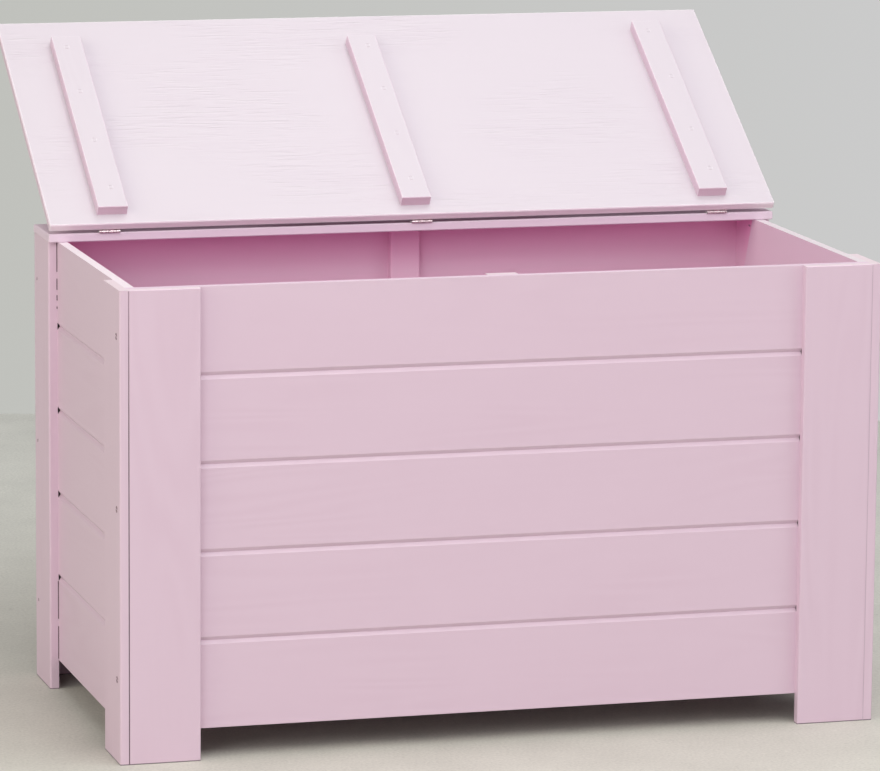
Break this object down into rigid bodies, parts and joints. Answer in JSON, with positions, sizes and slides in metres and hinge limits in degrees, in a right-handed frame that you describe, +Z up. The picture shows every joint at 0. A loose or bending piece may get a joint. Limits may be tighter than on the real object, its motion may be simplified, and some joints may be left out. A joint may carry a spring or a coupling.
{
  "type": "storage chest",
  "caption": "Painted wooden storage chest of tongue-and-groove boards on plank corner legs, with a battened lid hinged to a rail at the back, shown open.",
  "frame": {"origin": "on the floor under the middle of the box round the whole chest with its lid open", "axes": "+X along the chest to its right end seen from the front, +Y from front to back, +Z up"},
  "size_m": [1.002, 0.7694, 0.852],
  "materials": {
    "painted_pine": "pink paint, satin, over planed pine",
    "painted_batten": "pink paint, satin, over planed pine",
    "painted_cover": "pink paint, satin, over a grained panel",
    "hinge_brass": "brass-plated steel",
    "painted_fixings": "filled and painted over"
  },
  "bodies": {
    "chest": {"front_wall_board_1": "painted_pine", "front_wall_board_2": "painted_pine", "front_wall_board_3": "painted_pine", "front_wall_board_4": "painted_pine", "front_wall_board_5": "painted_pine", "back_wall_board_1": "painted_pine", "back_wall_board_2": "painted_pine", "back_wall_board_3": "painted_pine", "back_wall_board_4": "painted_pine", "back_wall_board_5": "painted_pine", "left_wall_board_1": "painted_pine", "left_wall_board_2": "painted_pine", "left_wall_board_3": "painted_pine", "left_wall_board_4": "painted_pine", "left_wall_board_5": "painted_pine", "right_wall_board_1": "painted_pine", "right_wall_board_2": "painted_pine", "right_wall_board_3": "painted_pine", "right_wall_board_4": "painted_pine", "right_wall_board_5": "painted_pine", "front_left_leg_face_board": "painted_pine", "front_left_leg_side_board": "painted_pine", "front_right_leg_face_board": "painted_pine", "front_right_leg_side_board": "painted_pine", "back_left_leg_face_board": "painted_pine", "back_left_leg_side_board": "painted_pine", "back_right_leg_face_board": "painted_pine", "back_right_leg_side_board": "painted_pine", "front_bottom_cleat": "painted_batten", "back_bottom_cleat": "painted_batten", "left_bottom_cleat": "painted_batten", "right_bottom_cleat": "painted_batten", "bottom_panel": "painted_cover", "front_inner_batten": "painted_batten", "back_inner_batten": "painted_batten", "hinge_rail": "painted_cover", "hinge_left_rail_leaf": "hinge_brass", "hinge_middle_rail_leaf": "hinge_brass", "hinge_right_rail_leaf": "hinge_brass", "hinge_left_pin": "hinge_brass", "hinge_middle_pin": "hinge_brass", "hinge_right_pin": "hinge_brass", "leg_nails": "painted_fixings"},
    "lid": {"lid_panel": "painted_cover", "lid_batten_left": "painted_batten", "lid_batten_middle": "painted_batten", "lid_batten_right": "painted_batten", "hinge_left_lid_leaf": "hinge_brass", "hinge_middle_lid_leaf": "hinge_brass", "hinge_right_lid_leaf": "hinge_brass"}
  },
  "joints": [
    {"name": "lid_hinge", "type": "hinge", "parent": "chest", "child": "lid", "pos_m": [0, 0.03279, 0.6127], "axis": [1, 0, 0], "range_deg": [0, 147]}
  ]
}
